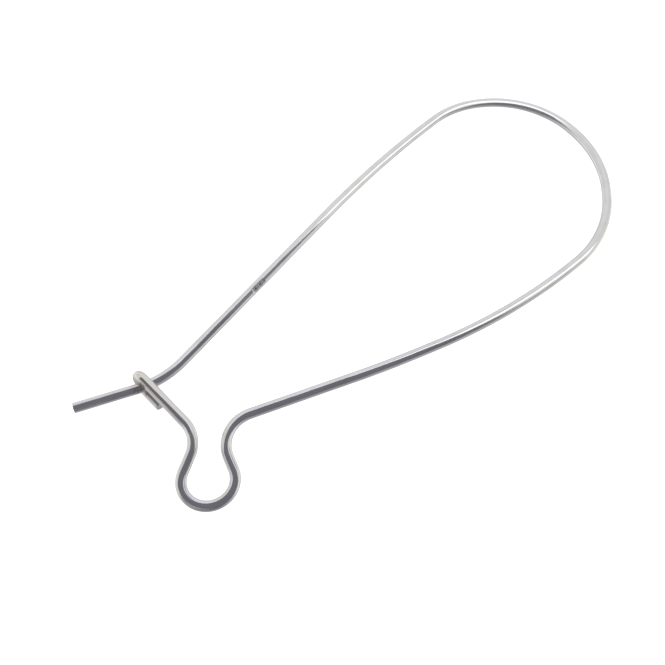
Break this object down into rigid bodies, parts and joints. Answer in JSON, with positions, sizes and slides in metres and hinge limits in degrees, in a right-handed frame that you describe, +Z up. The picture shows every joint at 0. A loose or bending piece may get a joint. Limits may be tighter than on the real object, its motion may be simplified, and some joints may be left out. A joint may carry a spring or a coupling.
{
  "type": "ear wire",
  "caption": "Kidney ear wire: one bent silver wire with a long loop, a round dip for a drop and a hook that catches the pin.",
  "frame": {"origin": "on the surface that the wire lies on, under the middle of its length and width", "axes": "+X from the pin and hook towards the round far end of the loop, +Y towards the side that the pin comes from, +Z up"},
  "size_m": [0.0442, 0.0176, 0.0022],
  "materials": {
    "silver_wire": "drawn and polished silver wire with faint draw lines, lightly toned"
  },
  "bodies": {
    "root": {"ear_wire": "silver_wire"}
  },
  "joints": []
}
